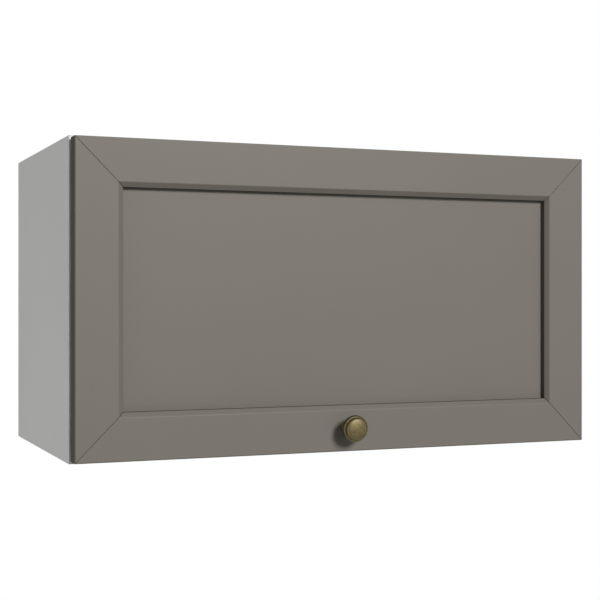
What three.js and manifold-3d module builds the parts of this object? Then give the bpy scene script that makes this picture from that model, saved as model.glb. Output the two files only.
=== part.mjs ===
// Lift up wall cabinet: a white melamine carcass with one framed door that is hinged at its top edge and
// swings up on two lift stays.
//
// Millimetres. +X is to the right when facing the door, +Y goes into the wall and +Z is up. The origin is the
// middle of the bottom board's rear edge, in the plane of the wall that the cabinet hangs on.

import * as THREE from 'three';
import { mergeVertices } from 'three/addons/utils/BufferGeometryUtils.js';
import Module from 'manifold-3d';

const wasm = await Module();
wasm.setup();

// ---------------------------------------------------------------------------------------------------------
// Driving dimensions
// ---------------------------------------------------------------------------------------------------------

// Carcass
const cabinetWidth = 600;
const cabinetHeight = 333;
const carcassDepth = 293;
const boardThickness = 16;
const boardGap = 0.2; // between two boards that are pulled together
const edgeBandThickness = 1;
const glueLine = 0.1;
const backThickness = 3;
const backInset = 16; // from the wall to the back panel, room for the wall rail
const grooveDepth = 8;
const grooveClearance = 0.3;

// Cam connectors that pull the top and bottom boards to the sides
const camRadius = 7.3;
const camHoleRadius = 7.5;
const camHeight = 12.4;
const camHoleDepth = 13;
const camFromBoardEnd = 24;
const camFromBoardEdge = 50;
const camSink = 0.3; // below the board's face
const boltHeadRadius = 3.3;
const boltHeadHalf = 2.6;
const boltNeckRadius = 2;
const boltNeckLength = 6;
const boltShankRadius = 3.4;
const boltThreadRadius = 2.9;
const boltThreadLength = 10.5;
const boltClearance = 0.4;

// Wall hangers
const hangerWidth = 18;
const hangerLength = 60;
const hangerHeight = 42;
const hangerWall = 3;
const hangerSeat = 0.3;
const hookThickness = 4;
const hookHeight = 20;
const hookReachIn = 26; // length of hook inside the hanger
const hookFromWall = 3.5;
const hookLipThickness = 4;
const hookLipDrop = 18;
const hookNeckHeight = 8;
const hookMouth = 7.5;
const hookTravel = 6; // up or down from the middle
const hookClearance = 0.7;
const notchWidth = 24; // corner cut out of the back panel
const notchHeight = 48;

// Door
const doorSideReveal = 1.2; // carcass side that shows beside the door
const doorEndReveal = 2.5; // carcass that shows above and below the door
const doorThickness = 20;
const doorGap = 2; // from the carcass front to the door's back
const frameWidth = 50;
const bevelWidth = 5.4;
const bevelDepth = 3;
const frontEdgeRadius = 1;
const backEdgeRadius = 2.5;
const panelRecess = 9;
const panelThickness = 6;
const panelClearance = 0.3;
const mitreGap = 0.3;

// Cup hinges
const hingeInset = 98; // from the door's end to the hinge's middle
const pivotDepth = 10; // in front of the door's back face
const pivotDrop = 7.8; // below the door's top edge
const cupHoleRadius = 17.5;
const cupEdge = 3; // wood left above the cup
const cupToGroove = 3; // wood left between the cup and the groove that holds the panel
const cupClearance = 0.2;
const cupWall = 0.9;
const cupDepth = 13.2;
const cupWingWidth = 52;
const cupWingHeight = 20;
const cupWingThickness = 1.2;
const hingePinRadius = 1.5;
const hingePinLength = 19;
const runningClearance = 0.1;
const hingeEyeRadius = 2.6;
const hingeEyeWidth = 8;
const hingeNeckThickness = 3;
const hingeArmDip = 10.8; // from the pin down to the arm's upper face
const hingeArmThickness = 2.6;
const hingeArmWidth = 11;
const hingeArmLength = 70; // behind the carcass front
const hingeChannelStart = 8; // behind the carcass front
const hingeChannelWall = 1.6;
const hingeChannelHeight = 4.5;
const plateLine = 37; // from the carcass front to the plate's screws
const plateWidth = 48;
const plateDepth = 20;
const plateThickness = 1.6;
const plateBlockWidth = 12;
const plateBlockFront = 20; // behind the carcass front
const plateBlockLength = 46;
const plateSeat = 0.2;

// Lift stays. The arm keeps in line with the door and the link keeps its slope, so the four pivots are always
// the corners of a parallelogram.
const stayPivotBack = 75; // from the door's hinge line into the cabinet
const stayPivotDrop = 45; // below the door's hinge line
const studBack = 24; // from the door's hinge line
const studDrop = 105;
const housingFront = 22; // from the stay's pivot
const housingRear = 78;
const housingAbove = 20;
const housingBelow = 26;
const housingWidth = 20;
const housingCorner = 6;
const armSlotInner = 5.7; // from the side board
const armSlotOuter = 12.3;
const armSlotRadius = 15;
const armFromSide = 7.5;
const armThickness = 3;
const armHubRadius = 9;
const armEndRadius = 6.5;
const linkThickness = 2.5;
const linkEndRadius = 6.5;
const layerGap = 0.3; // between parts that slide past each other
const stayPinRadius = 4;
const stayPinStart = 1.5; // from the side board
const elbowPinRadius = 3;
const rivetHeadRadius = 4.6;
const rivetHeadHeight = 1.3;
const cartridgeRadius = 6.7;
const cartridgeLength = 54;
const cartridgeDrop = 3; // below the stay's pivot
const cartridgeClearance = 0.3;
const bracketHeight = 36;
const bracketFromSide = 3;
const bracketWidth = 27;
const bracketThickness = 1.6;
const bracketSeat = 0.2;
const earThickness = 2;
const earRadius = 8;

// Knob and its screw
const knobHeight = 26; // above the door's bottom edge
const knobRimRadius = 14.5;
const knobFaceRadius = 12.2;
const knobNeckRadius = 5;
const knobNeckFlare = 0.8; // at both ends of the neck
const knobBaseRadius = 8.5;
const knobBaseHeight = 1.8;
const knobBaseSlope = 1;
const knobUnderside = 14.2; // from the door's face to the underside of the head
const knobSkirt = 3; // from the neck out to the underside's flat
const knobSkirtRise = 1.2;
const knobRimHeight = 2.6;
const knobRimEase = 0.7;
const knobCreaseHeight = 1; // from the rim up to the crease round the face
const knobFaceHeight = 2.3; // from the rim up to where the dome starts
const knobLength = 25;
const knobSeat = 0.2;
const knobBoreDepth = 16;
const screwRadius = 1.9;
const screwClearance = 0.25;
const screwEngagement = 13;
const screwHeadRadius = 4;
const screwHeadHeight = 2.4;

// Bumpers on the door's back
const bumperRadius = 5;
const bumperThickness = 1.6;
const bumperSeat = 0.1;
const bumperHeight = 9; // above the door's bottom edge

// ---------------------------------------------------------------------------------------------------------
// Places worked out from them
// ---------------------------------------------------------------------------------------------------------

const halfWidth = cabinetWidth / 2;
const sideInner = halfWidth - boardThickness;
const carcassFront = -carcassDepth;
const boardFront = carcassFront + edgeBandThickness + glueLine;
const bottomUnderside = -boardThickness / 2;
const bottomTop = boardThickness / 2;
const carcassTop = bottomUnderside + cabinetHeight;
const topUnderside = carcassTop - boardThickness;
const boardEnd = sideInner - boardGap;
const backFront = -(backInset + backThickness);

const doorWidth = cabinetWidth - 2 * doorSideReveal;
const doorHeight = cabinetHeight - 2 * doorEndReveal;
const doorBack = carcassFront - doorGap;
const doorFront = doorBack - doorThickness;
const doorTop = carcassTop - doorEndReveal;
const doorBottom = doorTop - doorHeight;
const doorMiddle = (doorTop + doorBottom) / 2;
const panelGroove = frameWidth - cupEdge - 2 * cupHoleRadius - cupToGroove;

// The hinge line, which is the door group's origin
const pivotY = doorBack - pivotDepth;
const pivotZ = doorTop - pivotDrop;
const hingeX = doorWidth / 2 - hingeInset;

// ---------------------------------------------------------------------------------------------------------
// Finishes
// ---------------------------------------------------------------------------------------------------------

function finish(color, roughness, metalness) {
  return { color, roughness, metalness };
}

const whiteMelamine = finish(0xd9d8d4, 0.5, 0);
const whiteEdge = finish(0xe6e5e1, 0.42, 0);
const whiteHardboard = finish(0xd2d1cc, 0.6, 0);
const greyFoil = finish(0x7e7b73, 0.5, 0);
const agedBrass = finish(0x7a704a, 0.38, 0.9);
const nickelSteel = finish(0xb4b3ae, 0.3, 1);
const zincSteel = finish(0x9fa1a2, 0.42, 1);
const castZinc = finish(0x8b8c8c, 0.45, 0.9);
const greyPlastic = finish(0xa4a6a7, 0.5, 0);
const whitePlastic = finish(0xdedddb, 0.45, 0);
const blackSteel = finish(0x2c2d2f, 0.4, 0.6);
const softClear = finish(0xc9cbc8, 0.35, 0);

// ---------------------------------------------------------------------------------------------------------
// Solids
// ---------------------------------------------------------------------------------------------------------

const roundSides = 32;
const pinSides = 24;
const cupSides = 48;
const knobSides = 36;

function solidOf(geometry) {
  const bare = geometry.index ? geometry.toNonIndexed() : geometry.clone();
  bare.deleteAttribute('normal');
  bare.deleteAttribute('uv');
  const merged = mergeVertices(bare, 1e-5);
  return new wasm.Manifold(
    new wasm.Mesh({
      numProp: 3,
      vertProperties: new Float32Array(merged.attributes.position.array),
      triVerts: new Uint32Array(merged.index.array),
    }),
  );
}

function box(x0, x1, y0, y1, z0, z1) {
  const geometry = new THREE.BoxGeometry(Math.abs(x1 - x0), Math.abs(y1 - y0), Math.abs(z1 - z0));
  geometry.translate((x0 + x1) / 2, (y0 + y1) / 2, (z0 + z1) / 2);
  return solidOf(geometry);
}

// A box that starts `from` and ends `to` inwards from one side board's inner face.
function sideBox(side, from, to, y0, y1, z0, z1) {
  return box(side * (sideInner - from), side * (sideInner - to), y0, y1, z0, z1);
}

// A round bar along X, Y or Z from a to b. u and v are its place on the other two axes, in X, Y, Z order.
function bar(axis, radius, a, b, u, v, sides = roundSides) {
  const geometry = new THREE.CylinderGeometry(radius, radius, Math.abs(b - a), sides);
  const middle = (a + b) / 2;
  if (axis === 'x') {
    geometry.rotateZ(-Math.PI / 2);
    geometry.translate(middle, u, v);
  } else if (axis === 'y') {
    geometry.translate(u, middle, v);
  } else {
    geometry.rotateX(Math.PI / 2);
    geometry.translate(u, v, middle);
  }
  return solidOf(geometry);
}

// A flat outline, extruded. The outline's two axes and the way it grows are given as vectors.
function prism(points, across, up, start, length) {
  const shape = new THREE.Shape(points.map(([a, b]) => new THREE.Vector2(a, b)));
  const geometry = new THREE.ExtrudeGeometry(shape, { depth: length, bevelEnabled: false });
  geometry.translate(0, 0, start);
  const along = new THREE.Vector3().crossVectors(across, up);
  geometry.applyMatrix4(new THREE.Matrix4().makeBasis(across, up, along));
  return solidOf(geometry);
}

const X = new THREE.Vector3(1, 0, 0);
const Y = new THREE.Vector3(0, 1, 0);
const Z = new THREE.Vector3(0, 0, 1);

// A plate in the Y-Z plane that starts `from` and ends `to` inwards from one side board's inner face.
function sidePlate(side, points, from, to) {
  const start = Math.min(side * (sideInner - from), side * (sideInner - to));
  return prism(points, Y, Z, start, Math.abs(to - from));
}

function arcPoints(y, z, radius, startAngle, endAngle, steps) {
  const points = [];
  for (let i = 0; i <= steps; i += 1) {
    const angle = startAngle + ((endAngle - startAngle) * i) / steps;
    points.push([y + radius * Math.cos(angle), z + radius * Math.sin(angle)]);
  }
  return points;
}

// The outline of a flat lever: two round ends joined by straight flanks.
function leverOutline([y0, z0], r0, [y1, z1], r1) {
  const length = Math.hypot(y1 - y0, z1 - z0);
  const direction = Math.atan2(z1 - z0, y1 - y0);
  const flank = Math.acos((r0 - r1) / length);
  const steps = 12;
  return [
    ...arcPoints(y1, z1, r1, direction - flank, direction + flank, steps),
    ...arcPoints(y0, z0, r0, direction + flank, direction - flank + 2 * Math.PI, steps),
  ];
}

function roundedRectangle(y0, y1, z0, z1, radius) {
  const quarter = Math.PI / 2;
  const steps = 4;
  return [
    ...arcPoints(y1 - radius, z0 + radius, radius, -quarter, 0, steps),
    ...arcPoints(y1 - radius, z1 - radius, radius, 0, quarter, steps),
    ...arcPoints(y0 + radius, z1 - radius, radius, quarter, 2 * quarter, steps),
    ...arcPoints(y0 + radius, z0 + radius, radius, 2 * quarter, 3 * quarter, steps),
  ];
}

// A turned solid. Its profile is [radius, distance along the axis], and the axis is +Y before it is placed.
function turned(profile, sides = roundSides) {
  const points = profile.map(([radius, distance]) => new THREE.Vector2(radius, distance));
  return solidOf(new THREE.LatheGeometry(points, sides));
}

// A turned solid whose axis runs outwards along X, through y and z, with its zero `start` from the middle.
function sideTurned(side, profile, start, [y, z], sideCount) {
  const points = profile.map(([radius, distance]) => new THREE.Vector2(radius, distance));
  const geometry = new THREE.LatheGeometry(points, sideCount);
  geometry.rotateZ((-side * Math.PI) / 2);
  geometry.translate(side * start, y, z);
  return solidOf(geometry);
}

function fuse(first, ...others) {
  return others.reduce((sum, other) => sum.add(other), first);
}

function cut(first, ...others) {
  return others.reduce((rest, other) => rest.subtract(other), first);
}

// A mesh of its own, placed at the middle of the solid.
function piece(name, solid, look) {
  const { vertProperties, triVerts, numProp } = solid.getMesh();
  const geometry = new THREE.BufferGeometry();
  const positions = new Float32Array((vertProperties.length / numProp) * 3);
  for (let i = 0; i < positions.length / 3; i += 1) {
    positions.set(vertProperties.subarray(i * numProp, i * numProp + 3), i * 3);
  }
  geometry.setAttribute('position', new THREE.BufferAttribute(positions, 3));
  geometry.setIndex(new THREE.BufferAttribute(new Uint32Array(triVerts), 1));
  geometry.computeBoundingBox();
  const middle = geometry.boundingBox.getCenter(new THREE.Vector3()).round();
  geometry.translate(-middle.x, -middle.y, -middle.z);
  geometry.computeVertexNormals();
  const mesh = new THREE.Mesh(geometry, new THREE.MeshStandardMaterial(look));
  mesh.name = name;
  mesh.position.copy(middle);
  return mesh;
}

const sides = [
  ['left', -1],
  ['right', 1],
];
const levels = [
  ['top', 1],
  ['bottom', -1],
];
const ends = [
  ['front', carcassFront + camFromBoardEdge],
  ['rear', -camFromBoardEdge],
];

// ---------------------------------------------------------------------------------------------------------
// Carcass boards
// ---------------------------------------------------------------------------------------------------------

// The face that a board's cams are let into, and the middle of its thickness.
function camFace(level) {
  return level > 0 ? carcassTop : bottomUnderside;
}

function boardMiddle(level) {
  return camFace(level) - (level * boardThickness) / 2;
}

const camX = boardEnd - camFromBoardEnd;

function sideBoard(name, side) {
  const board = box(side * sideInner, side * halfWidth, boardFront, 0, bottomUnderside, carcassTop);
  const groove = sideBox(
    side,
    -grooveDepth,
    1,
    backFront - grooveClearance,
    -backInset + grooveClearance,
    bottomUnderside - 1,
    carcassTop + 1,
  );
  const holes = levels.flatMap(([, level]) =>
    ends.map(([, y]) => {
      const radius = boltThreadRadius + boltClearance / 2;
      const bottom = side * (sideInner + boltThreadLength + boltClearance);
      return bar('x', radius, side * (sideInner - 1), bottom, y, boardMiddle(level), pinSides);
    }),
  );
  return piece(`${name}_side_board`, cut(board, groove, ...holes), whiteMelamine);
}

function levelBoard(name, level) {
  const outer = camFace(level);
  const inner = outer - level * boardThickness;
  const board = box(-boardEnd, boardEnd, boardFront, 0, inner, outer);
  const groove = box(
    -boardEnd - 1,
    boardEnd + 1,
    backFront - grooveClearance,
    -backInset + grooveClearance,
    inner - level,
    inner + level * grooveDepth,
  );
  const holes = sides.flatMap(([, side]) =>
    ends.flatMap(([, y]) => [
      bar('z', camHoleRadius, outer + level, outer - level * camHoleDepth, side * camX, y),
      bar(
        'x',
        boltShankRadius + boltClearance,
        side * camX,
        side * (boardEnd + 1),
        y,
        boardMiddle(level),
        pinSides,
      ),
    ]),
  );
  return piece(`${name}_board`, cut(board, groove, ...holes), whiteMelamine);
}

function backPanel() {
  const halfPanel = sideInner + grooveDepth - grooveClearance;
  const low = bottomTop - grooveDepth + grooveClearance;
  const high = topUnderside + grooveDepth - grooveClearance;
  const panel = box(-halfPanel, halfPanel, backFront, -backInset, low, high);
  const notches = sides.map(([, side]) =>
    sideBox(
      side,
      -grooveDepth - 1,
      notchWidth,
      backFront - 1,
      -backInset + 1,
      topUnderside - notchHeight,
      high + 1,
    ),
  );
  return piece('back_panel', cut(panel, ...notches), whiteHardboard);
}

function edgeBands() {
  const front = carcassFront;
  const rear = carcassFront + edgeBandThickness;
  return [
    ...sides.map(([name, side]) =>
      piece(
        `${name}_side_edge_band`,
        box(side * sideInner, side * halfWidth, front, rear, bottomUnderside, carcassTop),
        whiteEdge,
      ),
    ),
    ...levels.map(([name, level]) =>
      piece(
        `${name}_board_edge_band`,
        box(-boardEnd, boardEnd, front, rear, camFace(level), camFace(level) - level * boardThickness),
        whiteEdge,
      ),
    ),
  ];
}

// A cam bolt's section, from the middle of its head outwards.
function camBoltProfile() {
  const neckEnd = boltHeadHalf + boltNeckLength;
  const shankEnd = sideInner - camX - boltClearance;
  const threadEnd = sideInner - camX + boltThreadLength;
  return [
    [0, -boltHeadHalf],
    [boltHeadRadius, -boltHeadHalf],
    [boltHeadRadius, boltHeadHalf],
    [boltNeckRadius, boltHeadHalf],
    [boltNeckRadius, neckEnd],
    [boltShankRadius, neckEnd],
    [boltShankRadius, shankEnd],
    [boltThreadRadius, shankEnd],
    [boltThreadRadius, threadEnd],
    [0, threadEnd],
  ];
}

// A cam sits in its board and grips the head of a bolt that is screwed into the side board.
function camConnectors() {
  return levels.flatMap(([levelName, level]) =>
    sides.flatMap(([sideName, side]) =>
      ends.flatMap(([endName, y]) => {
        const name = `${levelName}_${sideName}_${endName}`;
        const outer = camFace(level) - level * camSink;
        const z = boardMiddle(level);
        const x = (distance) => side * (camX + distance);
        const head = boltHeadRadius + boltClearance;
        const headHalf = boltHeadHalf + boltClearance;
        const bolt = sideTurned(side, camBoltProfile(), camX, [y, z], pinSides);
        const cam = cut(
          bar('z', camRadius, outer, outer - level * camHeight, side * camX, y),
          bar('x', boltNeckRadius + boltClearance, x(0), x(camRadius + 1), y, z, pinSides),
          bar('x', head, x(-headHalf), x(headHalf), y, z, pinSides),
        );
        return [
          piece(`cam_${name}`, cam, castZinc),
          piece(`cam_bolt_${name}`, bolt, zincSteel),
        ];
      }),
    ),
  );
}

// ---------------------------------------------------------------------------------------------------------
// Wall hangers
// ---------------------------------------------------------------------------------------------------------

// A plastic box in each upper rear corner. Its steel hook passes through the back panel's cut-out corner and
// hangs on the wall rail. The hook is raised and lowered by a screw.
function hanger(name, side) {
  const rear = backFront - hangerSeat;
  const front = rear - hangerLength;
  const top = topUnderside - hangerSeat;
  const bottom = top - hangerHeight;
  const middleZ = (top + bottom) / 2;
  const slotInner = (hangerWidth - hookThickness) / 2 - hookClearance;
  const slotOuter = (hangerWidth + hookThickness) / 2 + hookClearance;
  const slotHalf = hookHeight / 2 + hookTravel + hookClearance;
  const housing = cut(
    sidePlate(side, roundedRectangle(front, rear, bottom, top, hangerWall), 0, hangerWidth),
    sideBox(
      side,
      slotInner,
      slotOuter,
      rear - hookReachIn - hookClearance,
      rear + 1,
      middleZ - slotHalf,
      middleZ + slotHalf,
    ),
  );

  const hookTop = middleZ + hookHeight / 2;
  const hookBottom = middleZ - hookHeight / 2;
  const lipRear = -hookFromWall;
  const lipFront = lipRear - hookLipThickness;
  const shankRear = lipFront - hookMouth;
  const shankFront = rear - hookReachIn;
  const hook = sidePlate(
    side,
    [
      [shankFront, hookBottom],
      [shankRear, hookBottom],
      [shankRear, hookTop - hookNeckHeight],
      [lipFront, hookTop - hookNeckHeight],
      [lipFront, hookTop - hookLipDrop],
      [lipRear, hookTop - hookLipDrop],
      [lipRear, hookTop],
      [shankFront, hookTop],
    ],
    (hangerWidth - hookThickness) / 2,
    (hangerWidth + hookThickness) / 2,
  );
  return [
    piece(`${name}_hanger_housing`, housing, whitePlastic),
    piece(`${name}_hanger_hook`, hook, zincSteel),
  ];
}

// ---------------------------------------------------------------------------------------------------------
// Door
// ---------------------------------------------------------------------------------------------------------

// A frame member's section: across is from the door's outer edge inwards, up is from its front to its back.
function memberSection() {
  const frontCorner = arcPoints(frontEdgeRadius, frontEdgeRadius, frontEdgeRadius, Math.PI, 1.5 * Math.PI, 3);
  const backCorner = arcPoints(
    backEdgeRadius,
    doorThickness - backEdgeRadius,
    backEdgeRadius,
    0.5 * Math.PI,
    Math.PI,
    4,
  );
  const lip = panelRecess - panelClearance;
  const rear = panelRecess + panelThickness + panelClearance;
  return [
    ...frontCorner,
    [frameWidth - bevelWidth, 0],
    [frameWidth, bevelDepth],
    [frameWidth, lip],
    [frameWidth - panelGroove, lip],
    [frameWidth - panelGroove, rear],
    [frameWidth, rear],
    [frameWidth, doorThickness],
    ...backCorner,
  ];
}

// One mitred member, lying on its own axes: X inwards from the door's edge, Y from its front face to its back
// and Z along its length, from the middle.
function frameMember(name, length, outward, ...holes) {
  const half = length / 2;
  const slack = mitreGap / Math.SQRT2;
  const full = prism(memberSection(), X, Y, -half, length);
  const mitred = prism(
    [
      [-half + slack - 1, -1],
      [half - slack + 1, -1],
      [half - slack - frameWidth - 1, frameWidth + 1],
      [-half + slack + frameWidth + 1, frameWidth + 1],
    ],
    Z,
    X,
    -1,
    doorThickness + 2,
  );
  const inward = outward.clone().negate();
  const mesh = piece(name, cut(full.intersect(mitred), ...holes), greyFoil);
  const turn = new THREE.Matrix4().makeBasis(inward, Y, new THREE.Vector3().crossVectors(inward, Y));
  const reach = Math.abs(outward.x) > 0.5 ? doorWidth / 2 : doorHeight / 2;
  const place = new THREE.Group();
  place.quaternion.setFromRotationMatrix(turn);
  place.position.copy(outward).multiplyScalar(reach);
  place.add(mesh);
  return place;
}

// The frame and its panel, about the middle of the door's front face.
function doorFrame() {
  const cupCentre = cupEdge + cupHoleRadius;
  const cupFloor = doorThickness - cupDepth - cupWall - cupClearance;
  const cupHoles = [-hingeX, hingeX].map((x) =>
    bar('y', cupHoleRadius, cupFloor, doorThickness + 1, cupCentre, x, cupSides),
  );
  const screwHole = bar('y', screwRadius + screwClearance, -1, doorThickness + 1, knobHeight, 0, pinSides);
  const halfPanelX = doorWidth / 2 - frameWidth + panelGroove - panelClearance;
  const halfPanelZ = doorHeight / 2 - frameWidth + panelGroove - panelClearance;
  const panel = box(
    -halfPanelX,
    halfPanelX,
    panelRecess,
    panelRecess + panelThickness,
    -halfPanelZ,
    halfPanelZ,
  );
  const frame = new THREE.Group();
  frame.add(
    frameMember('door_top_rail', doorWidth, Z, ...cupHoles),
    frameMember('door_bottom_rail', doorWidth, Z.clone().negate(), screwHole),
    frameMember('door_left_stile', doorHeight, X.clone().negate()),
    frameMember('door_right_stile', doorHeight, X),
    piece('door_centre_panel', panel, greyFoil),
  );
  return frame;
}

// The knob and the screw that holds it, along -Y from the door's front face.
function knobProfile() {
  const boreRadius = screwRadius + screwClearance;
  const rimTop = knobUnderside + knobRimHeight;
  const crease = rimTop + knobCreaseHeight;
  const faceStart = rimTop + knobFaceHeight;
  const domeRise = knobLength - faceStart;
  const neckLow = knobBaseHeight + knobSkirt * knobNeckFlare;
  const neckHigh = knobUnderside - knobSkirt - knobBaseSlope;
  const skirtRadius = knobNeckRadius + knobSkirt;
  const dome = [];
  const domeSteps = 6;
  for (let i = 0; i <= domeSteps; i += 1) {
    const angle = (Math.PI / 2) * (i / domeSteps);
    dome.push([knobFaceRadius * Math.cos(angle), faceStart + domeRise * Math.sin(angle)]);
  }
  dome[domeSteps][0] = 0;
  return [
    [0, knobBoreDepth],
    [boreRadius, knobBoreDepth],
    [boreRadius, 0],
    [knobBaseRadius, 0],
    [knobBaseRadius, knobBaseHeight / 2],
    [knobBaseRadius - knobBaseSlope, knobBaseHeight],
    [knobNeckRadius + knobNeckFlare, neckLow],
    [knobNeckRadius, (neckLow + neckHigh) / 2],
    [knobNeckRadius + knobNeckFlare, neckHigh],
    [skirtRadius, knobUnderside - knobSkirtRise],
    [knobRimRadius - knobSkirt, knobUnderside - knobRimEase / 2],
    [knobRimRadius - knobRimEase, knobUnderside + knobRimEase / 2],
    [knobRimRadius, knobUnderside + knobRimEase],
    [knobRimRadius, rimTop - knobRimEase],
    [knobRimRadius - knobRimEase, rimTop + knobRimEase],
    [(knobRimRadius + knobFaceRadius) / 2, crease],
    [knobFaceRadius, crease],
    ...dome,
  ];
}

function knobAndScrew() {
  const knob = piece('knob', turned(knobProfile(), knobSides), agedBrass);
  const headStart = doorThickness + knobSeat;
  const screw = piece(
    'knob_screw',
    fuse(
      bar('y', screwRadius, -headStart - 1, screwEngagement, 0, 0, pinSides),
      bar('y', screwHeadRadius, -headStart - screwHeadHeight, -headStart, 0, 0, pinSides),
    ),
    zincSteel,
  );
  // The knob is turned about +Y and faces -Y.
  const facing = new THREE.Group();
  facing.rotation.x = Math.PI;
  facing.position.set(0, doorFront - pivotY, doorBottom + knobHeight - pivotZ);
  knob.position.y += knobSeat;
  facing.add(knob, screw);
  return facing;
}

function bumpers() {
  const start = pivotDepth + bumperSeat;
  const z = doorBottom + bumperHeight - pivotZ;
  const x = sideInner + boardThickness / 2 - doorSideReveal / 2;
  return sides.map(([name, side]) => {
    const bumper = bar('y', bumperRadius, start, start + bumperThickness, side * x, z, pinSides);
    return piece(`${name}_bumper`, bumper, softClear);
  });
}

// ---------------------------------------------------------------------------------------------------------
// Cup hinges, about the hinge line
// ---------------------------------------------------------------------------------------------------------

const frontFromPivot = carcassFront - pivotY;
const undersideFromPivot = topUnderside - pivotZ;
const cupCentreFromPivot = pivotDrop - cupEdge - cupHoleRadius;

function hingeCup(name, x) {
  const outer = cupHoleRadius - cupClearance;
  const mouth = pivotDepth;
  const floor = mouth - cupDepth;
  const wings = box(
    x - cupWingWidth / 2,
    x + cupWingWidth / 2,
    mouth + cupClearance / 2,
    mouth + cupClearance / 2 + cupWingThickness,
    cupCentreFromPivot - cupWingHeight / 2,
    cupCentreFromPivot + cupWingHeight / 2,
  );
  const lip = mouth + cupClearance / 2 + cupWingThickness / 2;
  const cup = cut(
    fuse(bar('y', outer, floor - cupWall, lip, x, cupCentreFromPivot, cupSides), wings),
    bar('y', outer - cupWall, floor, mouth + cupWingThickness + 1, x, cupCentreFromPivot, cupSides),
    box(x - outer, x + outer, mouth - cupClearance, lip + 1, hingeEyeRadius, pivotDrop + 1),
    bar(
      'x',
      hingePinRadius + runningClearance,
      x - hingePinLength / 2 - runningClearance,
      x + hingePinLength / 2 + runningClearance,
      0,
      0,
      pinSides,
    ),
  );
  return piece(`${name}_hinge_cup`, cup, nickelSteel);
}

function hingePin(name, x) {
  const pin = bar('x', hingePinRadius, x - hingePinLength / 2, x + hingePinLength / 2, 0, 0, pinSides);
  return piece(`${name}_hinge_pin`, pin, zincSteel);
}

function hingeArm(name, x) {
  const halfEye = hingeEyeWidth / 2;
  const halfArm = hingeArmWidth / 2;
  const top = -hingeArmDip;
  const bottom = top - hingeArmThickness;
  const rear = frontFromPivot + hingeArmLength;
  const neckFront = -hingeNeckThickness / 2;
  const channelFront = frontFromPivot + hingeChannelStart;
  const channelInner = plateBlockWidth / 2 + plateSeat;
  const channelOuter = channelInner + hingeChannelWall;
  const channelTop = undersideFromPivot - plateThickness - plateSeat;
  const channelBottom = channelTop - plateSeat - hingeChannelHeight - hingeArmThickness;
  const channel = cut(
    box(x - channelOuter, x + channelOuter, channelFront, rear, channelBottom, channelTop - plateSeat),
    box(
      x - channelInner,
      x + channelInner,
      channelFront - 1,
      rear + 1,
      channelBottom + hingeArmThickness,
      channelTop + 1,
    ),
  );
  const arm = cut(
    fuse(
      bar('x', hingeEyeRadius, x - halfEye, x + halfEye, 0, 0, roundSides),
      box(x - halfEye, x + halfEye, neckFront, neckFront + hingeNeckThickness, bottom, -hingePinRadius),
      box(x - halfArm, x + halfArm, neckFront, channelFront + 1, bottom, top),
      channel,
    ),
    bar('x', hingePinRadius + runningClearance, x - halfEye - 1, x + halfEye + 1, 0, 0, pinSides),
  );
  return piece(`${name}_hinge_arm`, arm, nickelSteel);
}

function hingePlate(name, x) {
  const top = undersideFromPivot;
  const seatBottom = top - plateThickness;
  const blockBottom = seatBottom - hingeChannelHeight;
  const middle = frontFromPivot + plateLine;
  const blockFront = frontFromPivot + plateBlockFront;
  const plate = fuse(
    box(
      x - plateWidth / 2,
      x + plateWidth / 2,
      middle - plateDepth / 2,
      middle + plateDepth / 2,
      seatBottom,
      top - plateSeat,
    ),
    box(
      x - plateBlockWidth / 2,
      x + plateBlockWidth / 2,
      blockFront,
      blockFront + plateBlockLength,
      blockBottom,
      top - plateSeat,
    ),
  );
  return piece(`${name}_hinge_plate`, plate, nickelSteel);
}

// ---------------------------------------------------------------------------------------------------------
// Lift stays, about the hinge line
// ---------------------------------------------------------------------------------------------------------

const stayPivot = [stayPivotBack, -stayPivotDrop];
const stud = [studBack, -studDrop];
const elbow = [stayPivot[0] + stud[0], stayPivot[1] + stud[1]];
const linkFromSide = armFromSide + armThickness + layerGap;
const earFromSide = linkFromSide + linkThickness + layerGap;

// A round bar along X between two distances inwards from a side board.
function sideBar(side, radius, from, to, [y, z], sideCount = pinSides) {
  return bar('x', radius, side * (sideInner - from), side * (sideInner - to), y, z, sideCount);
}

function stayHousing(name, side) {
  const [y, z] = stayPivot;
  const front = y - housingFront;
  const rear = y + housingRear;
  const bottom = z - housingBelow;
  const top = z + housingAbove;
  const bore = side * (sideInner - housingWidth / 2);
  const boreStart = rear - cartridgeLength - 2 * cartridgeClearance;
  const housing = cut(
    sidePlate(side, roundedRectangle(front, rear, bottom, top, housingCorner), 0, housingWidth),
    sideBox(side, armSlotInner, armSlotOuter, front - 1, y + armSlotRadius, bottom - 1, z + armSlotRadius),
    sideBar(side, stayPinRadius + runningClearance, stayPinStart - layerGap, housingWidth + 1, stayPivot),
    bar('y', cartridgeRadius + cartridgeClearance, boreStart, rear + 1, bore, z - cartridgeDrop),
  );
  return piece(`${name}_stay_housing`, housing, greyPlastic);
}

function stayCartridge(name, side) {
  const [y, z] = stayPivot;
  const rear = y + housingRear - cartridgeClearance;
  const x = side * (sideInner - housingWidth / 2);
  const cartridge = bar('y', cartridgeRadius, rear - cartridgeLength, rear, x, z - cartridgeDrop);
  return piece(`${name}_stay_spring_cartridge`, cartridge, blackSteel);
}

function stayPivotPin(name, side) {
  const pin = sideBar(side, stayPinRadius, stayPinStart, housingWidth - layerGap, stayPivot);
  return piece(`${name}_stay_pivot_pin`, pin, zincSteel);
}

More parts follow.
